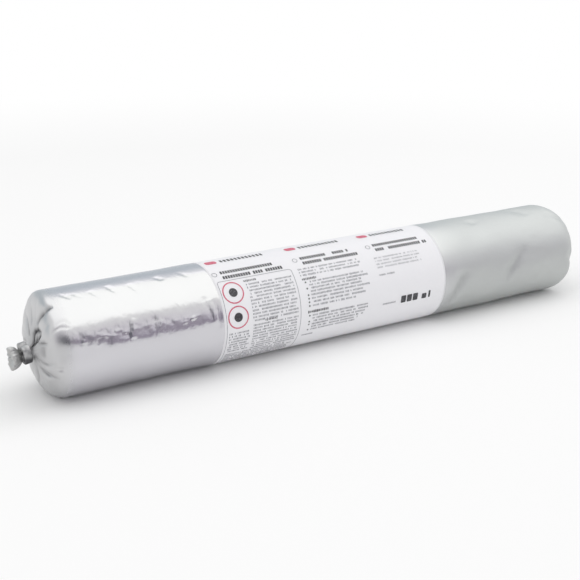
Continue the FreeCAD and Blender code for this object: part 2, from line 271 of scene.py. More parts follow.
class End:
    """The rings of one end: heel lifts its underside, square pushes the shoulder out round the turn
    square_from, and tuck draws the face in round TUCK_TURN, all in millimetres."""

    def __init__(self, side, depth, heel, lean, valleys, seed, square, square_from, tuck=0.0):
        self.side = side
        self.depth = depth
        self.heel = heel
        self.lean = math.radians(lean)
        self.below = np.maximum(-np.sin(turns), 0)
        self.square = square * np.maximum(0, np.cos(turns - math.radians(square_from))) ** 1.5
        self.tuck = tuck * np.maximum(0, np.cos(turns - math.radians(TUCK_TURN))) ** 2
        self.main = cusps(valleys)
        self.fine = fine_cusps(seed)
        draw = np.random.default_rng(seed + 1)
        self.uneven = sum(
            draw.uniform(0.5, 1.0) / waves ** 0.5 * np.cos(waves * turns + draw.uniform(0, 7))
            for waves in (2, 3, 4, 5, 7))
        self.rings = []

    def ring(self, out, radius, facing=0.0, fold=0.0, fine=0.0, uneven=0.0, over=0.0, bundle=0.0,
             heel=0.0, corner=0.0):
        """One ring of control points: along, across (towards the camera) and up, from the shoulder.

        facing is how many degrees the film has turned to face out along the pack.
        """
        facing = math.radians(facing)
        inward = fold * self.main + fine * self.fine + uneven * self.uneven
        reach = np.minimum(radius + corner * self.square, FILM_RADIUS) - inward * math.cos(facing)
        across = reach * np.cos(turns)
        up = reach * np.sin(turns) + heel * self.below ** 2
        up = np.where(up > 0, up * (1 - bundle * (1 - NECK_TOP / NECK_RADIUS)), up)
        outward = out - inward * math.sin(facing) + over * OVERHANG * self.below
        if out < self.depth - 1:
            outward = outward - self.tuck * math.sin(facing) ** 2
        lean = self.lean * min(1, max(out, 0) / self.depth) ** 5
        along = outward * math.cos(lean) + up * math.sin(lean)
        height = up * math.cos(lean) - outward * math.sin(lean)
        self.rings.append(np.stack([along, across, height], axis=1))

    def build(self):
        """All rings, from the shoulder to the middle of the tail's cut end."""
        face_edge = FILM_RADIUS - SHOULDER
        face_out = self.depth - FACE_DISH
        throat = NECK_RADIUS + THROAT
        clip = CLIP_WIDTH + 2 * CLIP_PLAY
        neck_out = self.depth + clip
        tail_end = neck_out + TAIL_LENGTH
        self.ring(0, FILM_RADIUS)
        self.ring(0.8, FILM_RADIUS)
        for turn in (18, 38, 60, FACE_TURN):
            angle = math.radians(turn)
            self.ring(face_out * math.sin(angle), face_edge + SHOULDER * math.cos(angle), turn,
                      fold=0.5 * (turn / FACE_TURN) ** 2, heel=self.heel * math.sin(angle),
                      corner=math.sin(2 * angle))
        for share in (0.75, 0.5, 0.28):
            self.ring(face_out + FACE_DISH * (1 - share) / 2, throat + share * (face_edge - throat),
                      FACE_TURN * share ** 0.3, fold=0.95 - 0.5 * share, fine=0.12 * (1 - share),
                      heel=self.heel * share)
        self.ring(self.depth - 1.2, throat, 60, fold=0.7, fine=0.22, bundle=0.2)
        for out, fold, fine in (
                (self.depth - 0.4, 0.06, 0.12), (self.depth, 0.05, 0.1),
                (neck_out - clip / 3, 0.05, 0.1), (neck_out + 0.4, 0.05, 0.2)):
            self.ring(out, NECK_RADIUS, fold=fold, fine=fine, bundle=1)
        # the tail: out, share of its radius, facing, fold, fine, uneven, over
        for out, share, *shape in (
                (neck_out + 1.5, 0.84, 0, 0.5, 0.5, 0.3, 0),
                (neck_out + 0.5 * TAIL_LENGTH, 1.02, 0, 0.8, 0.65, 0.3, 0.3),
                (tail_end - 1.6, 1.1, 10, 0.9, 0.7, 0.35, 0.8),
                (tail_end - 0.5, 1.06, 40, 0.9, 0.7, 0.35, 1),
                (tail_end - 0.3, 0.8, 60, 0.7, 0.5, 0.35, 0.9),
                (tail_end - 1.2, 0.42, 60, 0.4, 0.5, 0.3, 0.5),
                (tail_end - 1.8, 0.06, 60, 0, 0, 0, 0)):
            self.ring(out, TAIL_RADIUS * share, *shape)
        return np.array(self.rings)

    def grid(self, rows):
        """Points from the shoulder out to the middle of the tail's end, in the pack's frame."""
        rings = self.build()
        points = np.einsum("rk,kac->rac", spline_weights(len(rings), rows), rings)
        return points * (self.side, -1, 1) + (self.side * HALF_LENGTH, 0, AXIS_HEIGHT)


front = End(-1, depth=11.6, heel=1.3, lean=9, valleys=FRONT_VALLEYS, seed=11,
            square=1.9, square_from=90, tuck=3.0)
rear = End(1, depth=13.6, heel=-0.3, lean=4, valleys=REAR_VALLEYS, seed=23,
           square=1.2, square_from=-40)

# %% Rows along the pack


def between(start, end, step):
    """Evenly spaced places, without the last one."""
    count = max(1, round(abs(end - start) / step))
    return np.linspace(start, end, count, endpoint=False)


FRONT_ROWS = 112
REAR_ROWS = 60
COVERED = 3.0  # this far inside the label's edges the film is never seen

tube_rows = np.concatenate([
    between(-HALF_LENGTH, LABEL_START + COVERED, 1.0),
    between(LABEL_START + COVERED, LABEL_END - COVERED, 12),
    between(LABEL_END - COVERED, HALF_LENGTH, 1.8),
])
front_grid = front.grid(np.linspace(1, 0, FRONT_ROWS))[:-1]
rear_grid = rear.grid(np.linspace(0, 1, REAR_ROWS))
tube_grid = np.empty((len(tube_rows), ROUND, 3))
tube_grid[..., 0] = tube_rows[:, None]
tube_grid[..., 1] = -FILM_RADIUS * np.cos(turns)
tube_grid[..., 2] = AXIS_HEIGHT + FILM_RADIUS * np.sin(turns)
film_grid = np.concatenate([front_grid, tube_grid, rear_grid])
print("film grid: %d rows, %d triangles" % (len(film_grid), 2 * len(film_grid) * ROUND))

# %% [markdown]
# Creases are what makes film look like film. Each one is a short path on the skin with a depth, a
# width and a raised lip on one side, as a fold has. Places along the pack count from the near
# shoulder: minus goes out over the end face, plus goes along the tube. The distance from every grid
# point to a path is taken in the skin's own measure, so a crease keeps its width over the shoulder.
# Little light gets down into the deepest folds, so a point attribute paints shade into the film's colour
# there.

# %% The skin's own measure
steps = np.linalg.norm(np.diff(film_grid, axis=0), axis=2)
skin_along = np.concatenate([[0], np.cumsum(np.median(steps, axis=1))])
shoulder_row = len(front_grid)
skin_along -= skin_along[shoulder_row]
reach = np.hypot(film_grid[..., 1], film_grid[..., 2] - AXIS_HEIGHT)
skin_radius = np.median(reach, axis=1)
print("skin runs from %.1f to %.1f mm" % (skin_along[0], skin_along[-1]))


def tube_path(path):
    """A path of (x, turn) places, counted along from the near shoulder instead."""
    return [(x + HALF_LENGTH, turn) for x, turn in path]


# %% Creases
height = np.zeros(film_grid.shape[:2])
shade = np.zeros(film_grid.shape[:2])


def crease(path, depth, width, lip=0.5, soft=False, dark=0.0):
    """Presses one fold into the height map along a path of (along, turn) places.

    A soft fold is a plain hollow without a lip, and a depth below 0 makes it a ridge. dark says how
    much painted shade the fold puts into the film's colour.
    """
    places = np.array([(along, math.radians(turn)) for along, turn in path])
    lengths = np.hypot(np.diff(places[:, 0]), FILM_RADIUS * np.diff(places[:, 1]))
    total = lengths.sum()
    margin = 5 * width
    rows = np.where((skin_along > places[:, 0].min() - margin)
                    & (skin_along < places[:, 0].max() + margin))[0]
    if not len(rows):
        return
    rows = slice(rows[0], rows[-1] + 1)
    radius = skin_radius[rows, None]
    near = np.full(height[rows].shape, np.inf)
    share = np.zeros_like(near)
    side = np.zeros_like(near)
    run = 0.0
    for start, end, length in zip(places, places[1:], lengths):
        off = (turns[None, :] - start[1] + math.pi) % (2 * math.pi) - math.pi
        point = (skin_along[rows, None] - start[0], radius * off)
        step = (end[0] - start[0], radius * (end[1] - start[1]))
        size = step[0] ** 2 + step[1] ** 2 + TINY
        part = np.clip((point[0] * step[0] + point[1] * step[1]) / size, 0, 1)
        gap = np.hypot(point[0] - part * step[0], point[1] - part * step[1])
        closer = gap < near
        near = np.where(closer, gap, near)
        share = np.where(closer, (run + part * length) / total, share)
        side = np.where(closer, np.sign(point[0] * step[1] - point[1] * step[0]), side)
        run += length
    taper = np.clip(4 * share * (1 - share), 0, 1) ** 0.6
    off = near / width
    if soft:
        press = -depth * np.exp(-off ** 2)
    else:
        press = -depth * np.exp(-off) + lip * depth * side * off * np.exp(-off)
    height[rows] += press * taper
    shade[rows] = np.maximum(shade[rows], dark * taper * np.exp(-(off / 1.2) ** 2))


# %% Folds that the near end shows: path, depth, width, lip, dark
FRONT_FOLDS = (
    # the deep crease over the upper shoulder
    ([(-18.5, 80), (-14, 70), (-10.3, 62), (-3.6, 60.5)], 1.8, 1.15, 0.9, 0.85),
    # the pleat folded over beside the neck: upper edge, lower edge and the small line below
    ([(-31.5, 80), (-27.2, 88), (-25.6, 110), (-23.8, 106), (-21.4, 80), (-18.4, 58), (-14.6, 44)],
     1.4, 0.95, 0.2, 1.0),
    ([(-31.5, 66), (-27.8, 58), (-25.2, 51), (-20.6, 42), (-17.4, 43), (-15.0, 42)], 1.8, 1.2, 0.9, 1.0),
    ([(-22.0, 33), (-16.5, 26), (-11.0, 22)], 0.35, 0.45, 0.5, 0.3),
    # curved pleats on the lower shoulder
    ([(-27.5, -35), (-21, -18), (-14, -8), (-7.2, -4)], 0.45, 1.0, 0.7, 0.12),
    ([(-22, -50), (-17.9, -39), (-11.8, -27), (-6.0, -24)], 0.8, 1.0, 0.8, 0.25),
    # upright pleats above the neck
    ([(-23, 146), (-18.5, 141), (-14, 136)], 1.0, 0.6, 0.6, 0.7),
    ([(-20, 118), (-16.5, 113), (-12.0, 110)], 0.4, 0.8, 0.5, 0.2),
    # below the neck
    ([(-23, -80), (-17, -87), (-10, -95)], 0.6, 0.9, 0.6, 0.15),
    ([(-21, -130), (-16, -136), (-9, -140)], 0.7, 0.9, 0.6, 0.4),
    ([(-22, 178), (-16, 182), (-9, 184)], 0.7, 0.9, 0.6, 0.4),
    # short folds that run over the shoulder like lashes
    ([(-6.0, 38), (-3.0, 42), (-0.5, 42), (1.8, 36)], 0.2, 0.5, 0.8, 0.12),
    ([(-8.5, 33), (-3.7, 35.5), (0.5, 33)], 0.24, 0.5, 0.8, 0.15),
)
for path, depth, width, lip, dark in FRONT_FOLDS:
    crease(path, depth, width, lip, dark=dark)

# %% Folds along the near tube, by x: path, depth, width
TUBE_FOLDS = (
    # slanting creases along the top
    ([(-144, 78), (-140, 66)], 0.3, 0.7), ([(-139, 76), (-135, 65)], 0.25, 0.7),
    ([(-130.5, 74), (-127.6, 60)], 0.45, 0.9), ([(-122, 78), (-119, 62)], 0.5, 0.9),
    ([(-112, 74), (-107.5, 52)], 0.6, 0.9), ([(-98, 79), (-95.5, 70)], 0.5, 0.9),
    ([(-86, 80), (-82, 66)], 0.3, 0.7), ([(-92, 60), (-90, 48)], 0.12, 0.9),
    # upright ticks on the camera's side
    ([(-107.8, 30), (-107.2, 14)], 0.24, 0.6), ([(-119.3, 29), (-120.4, 12)], 0.2, 0.6),
    ([(-124, 27), (-123, 13)], 0.16, 0.6), ([(-132, 26), (-133, 12)], 0.14, 0.6),
    ([(-100, 24), (-98.5, 12)], 0.14, 0.6), ([(-139, 22), (-138.4, 12)], 0.16, 0.5),
    # buckles beside the label
    ([(-76.4, 34), (-74.8, 18), (-74.6, 2)], 0.5, 0.9),
    ([(-80.4, 40), (-79.0, 24), (-78.4, 12)], 0.4, 0.7),
    ([(-75.5, 60), (-74.6, 42)], 0.2, 0.9), ([(-76, -16), (-74.5, -34)], 0.2, 0.9),
)
for path, depth, width in TUBE_FOLDS:
    crease(tube_path(path), depth, width)

# %% Soft hollows and ridges: path, depth, width
SOFT_FOLDS = (
    # a dimple on the lower shoulder, a puff beside the neck, and the side that was squeezed flatter
    ([(-7.4, -11.5), (-4.4, -9)], 0.6, 1.1),
    ([(-27.5, 26), (-24.0, 14)], -0.7, 1.3),
    ([(-14, 6), (18, 6)], 0.55, 5.0),
    (tube_path([(-131, 20), (-104, 20)]), 0.28, 5.0),
    # narrow ridges that catch the light
    (tube_path([(-78.2, 36), (-76.6, 20), (-76.2, 6)]), -0.35, 1.1),
    (tube_path([(-115.6, 31), (-117.2, 20), (-117.9, 10)]), -0.42, 1.2),
)
for path, depth, width in SOFT_FOLDS:
    crease(path, depth, width, soft=True)
print("placed %d folds by hand" % (len(FRONT_FOLDS) + len(TUBE_FOLDS) + len(SOFT_FOLDS)))

# %% [markdown]
# The pleats that run into each neck get the same painted shade: most where the film is gathered
# tightest, and only in the valleys.

# %% Shade inside the gathered pleats
PLEAT_SHADE = 0.35

for end, its_side in ((front, skin_along < 0), (rear, skin_along > 0)):
    valley = np.clip(end.main / end.main.max(), 0, 1) ** 2
    close = np.exp(-((skin_radius - NECK_RADIUS - 0.5) / 1.8) ** 2) * its_side
    shade = np.maximum(shade, PLEAT_SHADE * close[:, None] * valley[None, :])
print("darkest fold: %.2f" % shade.max())

# %% [markdown]
# The rest of the crumpling has no single place: it is dense in a belt along the camera's side, where
# the film was squeezed, and thin elsewhere. Short random creases with a fixed seed make it, and a
# sum of long waves makes the slack lumps that a filled pack has. At the far end the film is softer,
# with broad dents and hardly any sharp line.

# %% Random crumpling
draw = np.random.default_rng(7)


def scatter(count, x_range, turn_range, length, depth, width, slants, soft=False):
    """Short creases at random places, at slants in degrees away from running round the pack."""
    for _ in range(count):
        x = draw.uniform(*x_range)
        turn = draw.uniform(*turn_range)
        half = draw.uniform(*length) / 2
        slant = math.radians(draw.uniform(*slants))
        along = half * math.sin(slant)
        round_it = math.degrees(half * math.cos(slant) / FILM_RADIUS)
        path = tube_path([(x - along, turn - round_it), (x + 0.3 * along, turn + draw.uniform(-1, 1)),
                          (x + along, turn + round_it)])
        crease(path, draw.uniform(*depth), draw.uniform(*width), soft=soft)


# how many, x, turn, length, depth, width, slant
scatter(34, (-142, -80), (16, 22), (1.0, 2.4), (-0.22, -0.1), (0.5, 0.8), (-20, 30), soft=True)
scatter(110, (-144, -76), (14, 28), (2.5, 7), (0.03, 0.11), (0.45, 0.75), (-12, 34))
scatter(40, (-144, -76), (32, 90), (3, 9), (0.02, 0.07), (0.7, 1.2), (-60, 60))
scatter(60, (-144, -76), (90, 350), (4, 12), (0.05, 0.2), (0.7, 1.3), (-70, 70))
scatter(50, (60, 144), (-10, 350), (5, 14), (0.03, 0.12), (1.2, 2.4), (-70, 70))

# %% Dents and creases of the far end: path, depth, width
REAR_DENTS = (
    ([(68.4, -34), (70.5, -10), (74.1, 12)], 0.9, 2.8), ([(103.4, -16), (106, 0), (112, 15)], 0.9, 3.0),
    ([(108, 18), (118, 14), (134, 12)], 0.45, 3.2), ([(90, 84), (94, 72)], 0.7, 2.4),
    ([(122, 96), (128, 84), (131, 70)], 0.8, 3.2), ([(126, -30), (131, -6)], 0.6, 3.4),
    ([(84, 4), (90, -12), (92, -30)], 0.5, 3.0), ([(149, 8), (155, -6), (158, -24)], 1.3, 2.6),
    ([(142, 66), (150, 58), (156, 50)], 0.7, 2.6), ([(80, 150), (86, 190)], 0.8, 3.0),
    ([(112, 200), (120, 240)], 0.7, 3.0), ([(132, 120), (138, 150)], 0.6, 2.5),
)
for path, depth, width in REAR_DENTS:
    crease(tube_path(path), depth, width, soft=True)

crease(tube_path([(67, -38), (69, -22), (71.5, -6), (74.1, 10)]), 0.9, 1.6, lip=0.9, dark=0.14)
crease(tube_path([(103.6, -20), (107, -2), (113, 14), (118, 26)]), 0.6, 1.3, lip=0.9, dark=0.08)
print("the far end has %d dents and two creases" % len(REAR_DENTS))

# %% Slack lumps
LUMPS = 26
HIGHEST = 0.35  # no crease or lump stands higher
LABEL_ROOM = 0.25  # the film stays this far inside the label

directions = draw.normal(size=(LUMPS, 3))
directions /= np.linalg.norm(directions, axis=1)[:, None]
lengths = draw.uniform(14, 34, LUMPS)
phases = draw.uniform(0, 2 * math.pi, LUMPS)
lumps = np.zeros(film_grid.shape[:2])
for direction, length, phase in zip(directions, lengths, phases):
    lumps += np.sin(film_grid @ direction * 2 * math.pi / length + phase)
lumps /= math.sqrt(LUMPS)
x_grid = film_grid[..., 0]
bare = np.clip(np.maximum(LABEL_START - x_grid, x_grid - LABEL_END) / 12, 0, 1)
near_neck = np.clip((reach - 7) / 8, 0, 1)
slack = np.where(x_grid > 0, 0.2, 0.11)
height += (lumps - 1.2) * slack * bare * near_neck
height = np.minimum(height, HIGHEST)
covered_from = np.clip((x_grid - LABEL_START + 0.2) / 1.2, 0, 1)
covered_to = np.clip((LABEL_END + 0.2 - x_grid) / 1.2, 0, 1)
under_label = covered_from * covered_to
height = height * (1 - under_label) - LABEL_ROOM * under_label
print("skin height from %.2f to %.2f mm" % (height.min(), height.max()))

# %% [markdown]
# The height map is applied along each point's outward direction. Points that would go below the floor
# are laid flat just above it, because the pack rests on its underside, and the other sides are kept
# inside the CAD box.

# %% Make the film
FLOOR_GAP = 0.1


def new_mesh(name, verts, faces):
    mesh = bpy.data.meshes.new(name)
    mesh.from_pydata(verts, [], faces)
    return mesh


def new_object(name, data):
    made = bpy.data.objects.new(name, data)
    bpy.context.scene.collection.objects.link(made)
    return made


def grid_normals(grid):
    """Outward direction at each point of a grid that closes round the axis."""
    around = np.roll(grid, -1, axis=1) - np.roll(grid, 1, axis=1)
    normal = np.cross(np.gradient(grid, axis=0), around)
    return normal / np.maximum(np.linalg.norm(normal, axis=2, keepdims=True), TINY)


def skin_object(name, grid):
    """A closed mesh from rows of points: quads along, and a fan over each end."""
    rows, columns, _ = grid.shape
    verts = [tuple(point) for point in (grid.reshape(-1, 3) * MM)]
    faces = []
    for row in range(rows - 1):
        base = row * columns
        for column in range(columns):
            beside = (column + 1) % columns
            faces.append((base + column, base + beside, base + columns + beside, base + columns + column))
    for row, flip in ((0, True), (rows - 1, False)):
        centre = len(verts)
        verts.append(tuple(grid[row].mean(axis=0) * MM))
        base = row * columns
        for column in range(columns):
            rim = (base + column, base + (column + 1) % columns)
            faces.append((*reversed(rim), centre) if flip else (*rim, centre))
    mesh = new_mesh(name, verts, faces)
    work = bmesh.new()
    work.from_mesh(mesh)
    bmesh.ops.recalc_face_normals(work, faces=work.faces)
    work.to_mesh(mesh)
    work.free()
    mesh.shade_smooth()
    return new_object(name, mesh)


skin = film_grid + grid_normals(film_grid) * height[..., None]
skin[..., 1] = np.clip(skin[..., 1], cad_low.y / MM, cad_high.y / MM)
skin[..., 2] = np.clip(skin[..., 2], FLOOR_GAP, cad_high.z / MM)
film = skin_object("film", skin)
fold = film.data.attributes.new("fold_shade", "FLOAT", "POINT")
fold.data.foreach_set("value", np.concatenate([shade.ravel(), [0.0, 0.0]]))
print("film: %d faces" % len(film.data.polygons))

# %% [markdown]
# The label is a thin sheet wrapped once round the pack, with a lap at the back. The same wrapping is
# needed for everything printed on it, so it is one Geometry Nodes group: a flat layout, with x along
# the pack and y round it, is bent onto the pack's radius and laid flat where the floor is.

# %% A group that wraps a flat layout round the pack


def new_group(name, floats=(), whole=(), material=True):
    """An empty Geometry Nodes group: a mesh, the pack's radius and axis height, and named inputs."""
    tree = bpy.data.node_groups.new(name, "GeometryNodeTree")
    inputs = [("Geometry", "Geometry")]
    inputs += [(title, "Float") for title in ("Radius", "Axis height", *floats)]
    inputs += [(title, "Int") for title in whole]
    inputs += [("Material", "Material")] * material
    for title, kind in inputs:
        tree.interface.new_socket(title, in_out="INPUT", socket_type="NodeSocket" + kind)
    tree.interface.new_socket("Geometry", in_out="OUTPUT", socket_type="NodeSocketGeometry")
    graph = Graph(tree)
    entry = tree.nodes.new("NodeGroupInput")
    wires = {socket.name: Wire(graph, socket) for socket in entry.outputs if socket.name}
    return tree, graph, wires


def wrap_group():
    tree, graph, wires = new_group("wrap_round_pack", material=False)
    place = graph.node("GeometryNodeInputPosition")
    x, y, lift = graph.split(place)
    radius = wires["Radius"] + lift
    turn = y / wires["Radius"]
    across = -1 * radius * turn.math("COSINE")
    up = wires["Axis height"] + radius * turn.math("SINE")
    up = up.math("MAXIMUM", LABEL_RADIUS * MM - wires["Radius"])
    moved = graph.node("GeometryNodeSetPosition", {
        "Geometry": wires["Geometry"], "Position": graph.vector(x, across, up)})
    graph.node("NodeGroupOutput", [moved])
    return tree


WRAP = wrap_group()
print("group %s takes %d inputs" % (WRAP.name, len(WRAP.interface.items_tree) - 1))


def close_group(graph, geometry, wires):
    """Wraps a layout, realizes instances, sets the material and ends the tree."""
    sockets = {"Geometry": geometry, "Radius": wires["Radius"], "Axis height": wires["Axis height"]}
    geometry = graph.node("GeometryNodeGroup", sockets, node_tree=WRAP)
    geometry = graph.node("GeometryNodeRealizeInstances", [geometry])
    geometry = graph.node("GeometryNodeSetMaterial", {"Geometry": geometry, "Material": wires["Material"]})
    graph.node("NodeGroupOutput", [geometry])


# %% Turn a modifier's result into a plain mesh


def run_group(name, tree, mesh=None, **values):
    """Runs a tree on a mesh, on the print's radius, and returns a plain object with the result."""
    carrier = new_object(name, mesh or bpy.data.meshes.new(name))
    modifier = carrier.modifiers.new("shape", "NODES")
    modifier.node_group = tree
    values.update(radius=SHEET_RADIUS * MM, axis_height=AXIS_HEIGHT * MM)
    sockets = {item.name: item.identifier for item in tree.interface.items_tree if item.in_out == "INPUT"}
    for title, value in values.items():
        modifier[sockets[title.replace("_", " ").capitalize()]] = value
    graph = bpy.context.evaluated_depsgraph_get()
    result = bpy.data.meshes.new_from_object(carrier.evaluated_get(graph))
    carrier.modifiers.clear()
    old = carrier.data
    carrier.data = result
    bpy.data.meshes.remove(old)
    return carrier


# %% The label's sheet
LAP_TURN = 200.0  # middle of the lap, at the back and below the axis
LAP_HALF = 10.3
LAP_FADE = (-30, -22)  # degrees from the sheet's end where it begins and ends to rise over the lap
WAVINESS = 0.00012  # the sheet is slack by this much, in metres
SHEET_POINTS = (90, 260)  # along and round
INK = 0.03  # the print stands this much proud of the sheet
SHEET_RADIUS = LABEL_RADIUS - 2 * INK


def sheet_group():
    tree, graph, wires = new_group("label_sheet", ("Start", "Length", "First turn", "Last turn", "Lift"))
    radius = wires["Radius"]
    degree = math.pi / 180
    first = wires["First turn"] * degree * radius
    last = wires["Last turn"] * degree * radius
    grid = graph.node("GeometryNodeMeshGrid", [wires["Length"], last - first, *SHEET_POINTS])
    place = graph.node("GeometryNodeInputPosition")
    x, y, _ = graph.split(place)
    y = y + (first + last) / 2
    lap = graph.fade(y, *[last + turn * degree * radius for turn in LAP_FADE])
    rise = lap * wires["Lift"] - graph.noise(place, 34.0, 1.0) * WAVINESS
    flat = graph.vector(x + wires["Start"] + wires["Length"] / 2, y, rise)
    laid = graph.node("GeometryNodeSetPosition", {"Geometry": grid, "Position": flat})
    close_group(graph, laid, wires)
    return tree


# %% [markdown]
# Every finish is a node material. Film reflects almost like a mirror, so its look comes from small
# changes of roughness and from crinkles finer than the mesh; the far part of the film is duller, and
# its darker green-grey tint is a painted reflection.
# All of them read Object coordinates, which are the row's own metres here.

# %% A new material


def feed(graph, shader, **sockets):
    """Links wires to the shader's sockets, or sets fixed numbers and colours on them."""
    for title, value in sockets.items():
        graph.put(shader.inputs[title.replace("_", " ")], value)


def new_material(name, **fixed):
    """A material with its graph, its shader and the Object coordinates."""
    material = bpy.data.materials.new(name)
    material.use_nodes = True
    graph = Graph(material.node_tree)
    shader = material.node_tree.nodes["Principled BSDF"]
    feed(graph, shader, **fixed)
    return material, graph, shader, graph.node("ShaderNodeTexCoord", (), "Object")


def stretch(graph, place, scale):
    """The place, scaled so that a pattern is drawn out across the pack."""
    return graph.node("ShaderNodeMapping", {"Vector": place, "Scale": (1.0, scale, scale)})


def bump(graph, height, distance):
    return graph.node("ShaderNodeBump", {"Height": height, "Distance": distance, "Strength": 1.0})


# %% Metallised film
TUBE_TINT = (0.655, 0.648, 0.678, 1)
# painted reflection: a neutral tint for the tube's upper flanks
UPPER_REFLECTION_TINT = (0.645, 0.648, 0.643, 1)
FACE_TINT = (0.59, 0.59, 0.595, 1)
# painted reflection: a darker green-grey tint for the far part
REAR_REFLECTION_TINT = (0.575, 0.592, 0.582, 1)
TAIL_TINT = (0.50, 0.50, 0.49, 1)
CLOUD_TINT = (0.45, 0.45, 0.48, 1)
# painted shade: the colour that the deepest folds and pleats are darkened towards
PAINTED_PLEAT_SHADE = (0.05, 0.05, 0.055, 1)
NECK_HEIGHT = 0.0228  # of the near neck above the floor, in metres


def film_finish():
    """Tube, end face, tail and far part differ in tint, and the far part and the face are rougher. The
    tints of the upper flanks and the far part are painted reflection, and the deepest folds get painted
    shade.
    """
    material, graph, shader, place = new_material("metallised_film")
    x, y, z = graph.split(place)
    # the far part is rougher, and its tint is a painted reflection
    far = graph.fade(x, 0.03, 0.08)
    face = graph.fade(x, -0.143, -0.152)
    tail = graph.fade(x, -0.158, -0.162)
    cloud = graph.noise(place, 42.0, 3.0)
    grain = graph.noise(place, 900.0)
    # painted reflection: the tube's upper flanks, but not its top line, are tinted neutral instead of
    # lilac
    reflection_band = graph.fade(z, 0.029, 0.037) * graph.fade(z, 0.0488, 0.0478)
    tube = graph.blend(reflection_band, TUBE_TINT, UPPER_REFLECTION_TINT)
    tint = graph.blend(face, graph.blend(far, tube, REAR_REFLECTION_TINT), FACE_TINT)
    tint = graph.blend(tail, tint, TAIL_TINT)
    tint = graph.blend(cloud * 0.14, tint, CLOUD_TINT)
    # painted shade from the fold_shade attribute darkens the base colour below
    fold = graph.node("ShaderNodeAttribute", (), "Fac", attribute_name="fold_shade")
    # film gathered round the neck scatters more light than a mirror does
    off_axis = (y * y + (z - NECK_HEIGHT) * (z - NECK_HEIGHT)).math("SQRT")
    gathered = graph.fade(off_axis, 0.018, 0.008) * face * (1 - tail)
    crinkle = graph.noise(stretch(graph, place, 0.45), 520.0, 1.5)
    ridge = (1 - (crinkle - 0.5).math("ABSOLUTE") * 4) * (1 - face * 0.8)
    soft = graph.noise(place, 130.0)
    feed(graph, shader, Base_Color=graph.blend(fold, tint, PAINTED_PLEAT_SHADE), Metallic=1 - gathered * 0.8,
         Roughness=0.14 + cloud * 0.1 + grain * 0.05 + far * 0.34 + face * 0.12 + gathered * 0.3,
         Normal=bump(graph, ridge * 0.28 + soft * 0.5, 0.00012))
    return material


# %% Label stock, inks and clip wire
STOCK_PALE = (0.895, 0.89, 0.915, 1)
STOCK_DEEP = (0.84, 0.835, 0.865, 1)
CLIP_BRIGHT = (0.56, 0.56, 0.555, 1)
CLIP_DULL = (0.34, 0.34, 0.345, 1)
# painted shade for the clip's lower half
CLIP_PAINTED_SHADE = (0.13, 0.13, 0.135, 1)


def stock_finish():
    material, graph, shader, place = new_material("label_stock", Coat_Roughness=0.3, IOR=1.46)
    mottle = graph.noise(place, 700.0, 3.0)
    cloud = graph.noise(place, 25.0)
    feed(graph, shader, Base_Color=graph.blend(mottle * 0.5 + cloud * 0.5, STOCK_PALE, STOCK_DEEP),
         Roughness=0.42 + cloud * 0.12, Coat_Weight=0.08 + mottle * 0.1,
         Normal=bump(graph, mottle * 0.3 + graph.noise(place, 90.0), 0.00005))
    return material


def ink_finish(name, colour, worn):
    """Printed ink: its colour, thinner and paler in tiny specks."""
    material, graph, shader, place = new_material(name)
    speck = graph.noise(place, 1800.0)
    feed(graph, shader, Base_Color=graph.blend(graph.fade(speck, 0.45, 0.75), colour, worn),
         Roughness=0.4 + speck * 0.15, Normal=bump(graph, speck, 0.00002))
    return material


def clip_finish():
    """Drawn aluminium with dull blotches, and painted shade on the half that faces down."""
    material, graph, shader, place = new_material("clip_wire", Metallic=1.0)
    drawn = graph.noise(stretch(graph, place, 0.2), 2600.0, 3.0)
    blotch = graph.noise(place, 420.0, 3.0)
    _, _, z = graph.split(place)
    # painted shade: the half below the neck's middle is darkened, with a blotchy edge
    low = graph.fade(z + blotch * 0.002, NECK_HEIGHT + 0.0012, NECK_HEIGHT - 0.0012)
    bright = graph.blend(graph.fade(blotch, 0.35, 0.7), CLIP_BRIGHT, CLIP_DULL)
    feed(graph, shader, Base_Color=graph.blend(low, bright, CLIP_PAINTED_SHADE), Roughness=0.42 + blotch * 0.25,
         Normal=bump(graph, drawn * 0.6 + blotch, 0.00008))
    return material


FILM = film_finish()
STOCK = stock_finish()
INK_DARK = ink_finish("ink_dark", (0.035, 0.035, 0.04, 1), (0.12, 0.12, 0.13, 1))
INK_GREY = ink_finish("ink_grey", (0.22, 0.22, 0.25, 1), (0.42, 0.42, 0.45, 1))
INK_ROSE = ink_finish("ink_rose", (0.62, 0.10, 0.17, 1), (0.75, 0.28, 0.34, 1))
CLIP = clip_finish()
film.data.materials.append(FILM)
for node in ("front_clip", "rear_clip"):
    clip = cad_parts[node]
    clip.data.materials.clear()
    clip.data.materials.append(CLIP)
print("finishes:", ", ".join(m.name for m in (FILM, STOCK, INK_DARK, INK_GREY, INK_ROSE, CLIP)))

# %% Make the label
label = run_group(
    "label_wrap", sheet_group(), start=LABEL_START * MM, length=(LABEL_END - LABEL_START) * MM,
    first_turn=LAP_TURN - LAP_HALF, last_turn=LAP_TURN + LAP_HALF + 360, lift=SHEET * MM, material=STOCK)
thick = label.modifiers.new("stock", "SOLIDIFY")
thick.thickness = SHEET * MM
thick.offset = -1
label.data.shade_smooth()
print("label: %d faces" % len(label.data.polygons))

# %% [markdown]
# Print is generic here: no word can be read. A line of small print is a row of thin letter-sized
# bars with gaps where words would end, so it has the grey texture of text from a step away. One tree
# makes a whole paragraph: a grid of points, some dropped for gaps and ragged line ends, a bar on
# each point that is left, and the wrapping group at the end.

# %% A paragraph of bars


